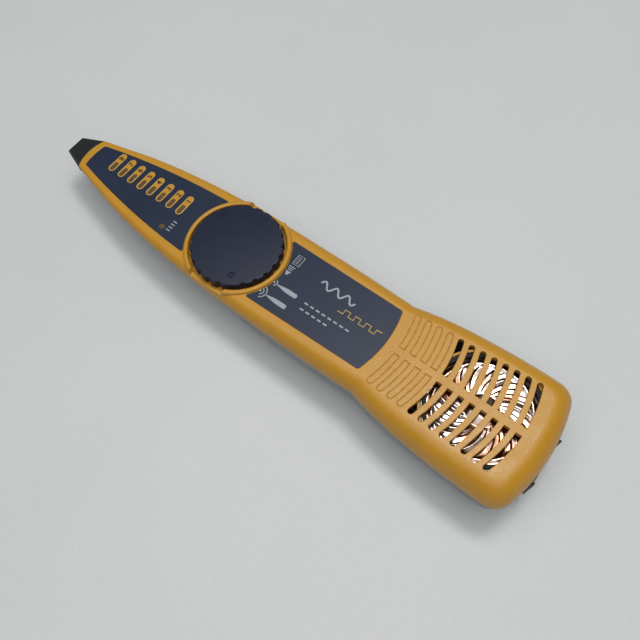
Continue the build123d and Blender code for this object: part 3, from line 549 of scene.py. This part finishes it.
def add_wave_marks():
    """A tone wave, a pulse train and two rows of dashes stand where lettering was."""
    white = ink("wave_ink", WHITE_INK)
    gold = ink("pulse_ink", srgb(206, 168, 84))

    first_u = 38.0

    def build_wave(work):
        length, v, height, width = 16.5, 6.6, 1.5, 0.75
        waves, steps = 3, 96
        turns = [i / steps for i in range(steps + 1)]
        stroke(work, [(first_u + length * turn, v + height * math.sin(turn * waves * 2 * math.pi))
                      for turn in turns], width)

    def build_pulses(work):
        start_u, v, step, height, width = 50.5, 1.4, 2.45, 1.05, 0.42
        points = []
        for i in range(8):
            u = start_u + step * i
            level = height if i % 2 else -height
            points += [(u, v + level), (u + step, v + level)]
        stroke(work, points, width)

    def build_dashes(work):
        length, pitch, width = 1.7, 2.8, 0.7
        for v, count in ((-4.4, 8), (-7.4, 5)):
            for i in range(count):
                u = first_u + pitch * i
                stroke(work, [(u, v), (u + length, v)], width)

    piece("tone_wave_mark", mesh_from(build_wave), white, "housing")
    piece("pulse_mark", mesh_from(build_pulses), gold, "housing")
    piece("dash_marks", mesh_from(build_dashes), white, "housing")


add_digits()
add_window_rims()
add_pictograms()
add_sync_ticks()
add_wave_marks()


# ---- Loudspeaker film -----------------------------------------------------------------
def add_speaker_film():
    """Pressed metallised film: centre dome, slanted creases round the cone and a rolled edge."""
    film_low, film_high = node_range("speaker_diaphragm")
    centre_u = (film_low[0] + film_high[0]) / 2
    radius = (film_high[0] - film_low[0]) / 2 - 0.05
    level = film_high[2] - 0.45
    thickness = 0.12
    dome = 6.4                          # radius of the centre dome
    dome_top, dome_fall = 0.15, 0.9     # its middle above the level, and its drop to the rim
    cone_drop, cone_rise = 0.75, 0.55   # the cone's inner edge below the level, and its climb
    crease_end = 0.86                   # share of the way out at which the creases fade away
    creases, crease_lean, crease_height, crease_half = 17, 1.1, 0.14, 0.16
    broad_sag, narrow_sag = 0.07, 0.11  # slow and quick waves round the cone
    roll_height, roll_half, roll_inset = 0.3, 0.9, 1.9
    rings, spokes = 90, 24 * creases

    def lean(r):
        """How far the creases have leaned over at a radius."""
        return crease_lean * max(0.0, r - dome) / radius

    def crease_offset(r, angle):
        """Signed distance across the nearest crease, -1 to 1."""
        turn = creases * (angle + lean(r)) / math.pi
        return (turn - round(turn)) * 2

    def height(r, angle):
        """The film's top above the control face."""
        if r < dome:
            return level + dome_top - dome_fall * (r / dome) ** 2
        out = (r - dome) / (radius - dome)
        crease = crease_height * math.exp(-(crease_offset(r, angle) / crease_half) ** 2)
        sag = broad_sag * math.sin(3 * angle + 1.0) + narrow_sag * math.sin(8 * (angle + lean(r)))
        sag *= math.sin(math.pi * min(1.0, out))
        fade = min(1.0, 8 * out, 8 * max(0.0, crease_end - out))
        roll = roll_height * math.exp(-((r - radius + roll_inset) / roll_half) ** 2)
        return level - cone_drop + cone_rise * out + fade * (crease + sag) + roll

    def build(work):
        """Two like skins, one under the other, joined at the rim. The mesh lines run along the creases."""
        rims = []
        for drop in (0.0, thickness):
            rows = []
            for i in range(1, rings + 1):
                r = radius * i / rings
                angles = [2 * math.pi * j / spokes - lean(r) for j in range(spokes)]
                rows.append([work.verts.new(on_face(centre_u + r * math.cos(a), r * math.sin(a),
                                                    height(r, a) - drop)) for a in angles])
            hub = work.verts.new(on_face(centre_u, 0, height(0.0, 0.0) - drop))
            for j in range(spokes):
                work.faces.new((hub, rows[0][j], rows[0][(j + 1) % spokes]))
            for inner, outer in zip(rows, rows[1:]):
                for j in range(spokes):
                    k = (j + 1) % spokes
                    work.faces.new((inner[j], outer[j], outer[k], inner[k]))
            rims.append(rows[-1])
        for j in range(spokes):
            k = (j + 1) % spokes
            work.faces.new((rims[0][j], rims[1][j], rims[1][k], rims[0][k]))

    def on_painted_shade_flank(face):
        """Whether a face lies on the side of a crease that takes painted shade, clear of the dome and the roll."""
        u, v, _ = face_coords(face.center)
        r = math.hypot(u - centre_u, v)
        flank_start, flank_end = 0.05, 0.2
        on_cone = dome + 1.0 < r < crease_end * radius
        return on_cone and flank_start < crease_offset(r, math.atan2(v, u - centre_u)) < flank_end

    film = piece("speaker_film", mesh_from(build), finishes["film_metal"], "speaker_cone")
    # painted shade: a darker metal laid on one flank of each crease
    film.data.materials.append(metal("film_shadow", srgb(104, 84, 74), rough=(0.3, 0.45)))
    for face in film.data.polygons:
        face.material_index = int(on_painted_shade_flank(face))
        face.use_smooth = True
    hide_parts("speaker_diaphragm")


add_speaker_film()


# ---- Studio ---------------------------------------------------------------------------
def add_floor():
    """A plain pale table top."""
    mesh = bpy.data.meshes.new("floor")
    reach = 3.0
    mesh.from_pydata([(-reach, -reach, 0), (reach, -reach, 0), (reach, reach, 0), (-reach, reach, 0)], [],
                     [(0, 1, 2, 3)])
    floor = bpy.data.objects.new("floor", mesh)
    bpy.context.scene.collection.objects.link(floor)
    shader = Shader("table_top")
    cloud = shader.noise(160, detail=4, roughness=0.6)
    fleck = shader.noise(2.0, detail=3)
    tone = shader.mix(shader.ramp(cloud), srgb(206, 208, 207), srgb(212, 213, 212))
    tone = shader.mix(shader.ramp(fleck, 0.4, 0.7, 0.0, 0.25), tone, srgb(198, 200, 199))
    shader.set(shader.bsdf, Base_Color=tone, Roughness=0.55, Normal=shader.bump(fleck, 0.01))
    mesh.materials.append(shader.material)


def add_light(name, place, size, watts, colour):
    """A soft rectangular light turned to the middle of the table."""
    light = bpy.data.lights.new(name, "AREA")
    light.shape = "RECTANGLE"
    light.size, light.size_y = size
    light.energy = watts
    light.color = colour
    lamp = bpy.data.objects.new(name, light)
    bpy.context.scene.collection.objects.link(lamp)
    lamp.location = place
    lamp.rotation_euler = (-Vector(place)).to_track_quat("-Z", "Y").to_euler()


def add_camera():
    """Looks down from the rear of the near side, with the tip to the upper left."""
    low, high = cad_box
    aim_from_middle = Vector((0.0187, -0.0020, -0.0005))
    distance = 0.2922
    bearing, dip, roll = math.radians(128.72), math.radians(64.98), math.radians(1.84)
    aim = (Vector(low) + Vector(high)) / 2 + aim_from_middle
    look = Vector((math.cos(dip) * math.cos(bearing), math.cos(dip) * math.sin(bearing), -math.sin(dip)))
    right = look.cross(Vector((0, 0, 1))).normalized()
    up = right.cross(look)
    up = (up * math.cos(roll) + right * math.sin(roll)).normalized()
    right = look.cross(up)
    camera = bpy.data.cameras.new("camera")
    camera.sensor_width = 36.0
    camera.lens = 40.5
    camera.clip_start = 0.01
    holder = bpy.data.objects.new("camera", camera)
    bpy.context.scene.collection.objects.link(holder)
    pose = Matrix((right, up, -look)).transposed().to_4x4()
    pose.translation = aim - look * distance
    holder.matrix_world = pose
    bpy.context.scene.camera = holder


def add_world():
    """Faint cool light from all round."""
    world = bpy.data.worlds.new("world")
    bpy.context.scene.world = world
    world.use_nodes = True
    background = world.node_tree.nodes["Background"]
    background.inputs["Color"].default_value = (0.93, 0.97, 1.0, 1.0)
    background.inputs["Strength"].default_value = 0.18


add_floor()
add_world()
add_light("ceiling_light", place=(0.02, 0.30, 1.20), size=(0.30, 0.24), watts=4.0, colour=(1.0, 0.99, 0.97))
add_light("room_light", place=(0.05, -0.15, 1.30), size=(1.5, 1.5), watts=11.6, colour=(0.98, 0.99, 1.0))
add_camera()
bpy.context.scene.view_settings.view_transform = "Standard"
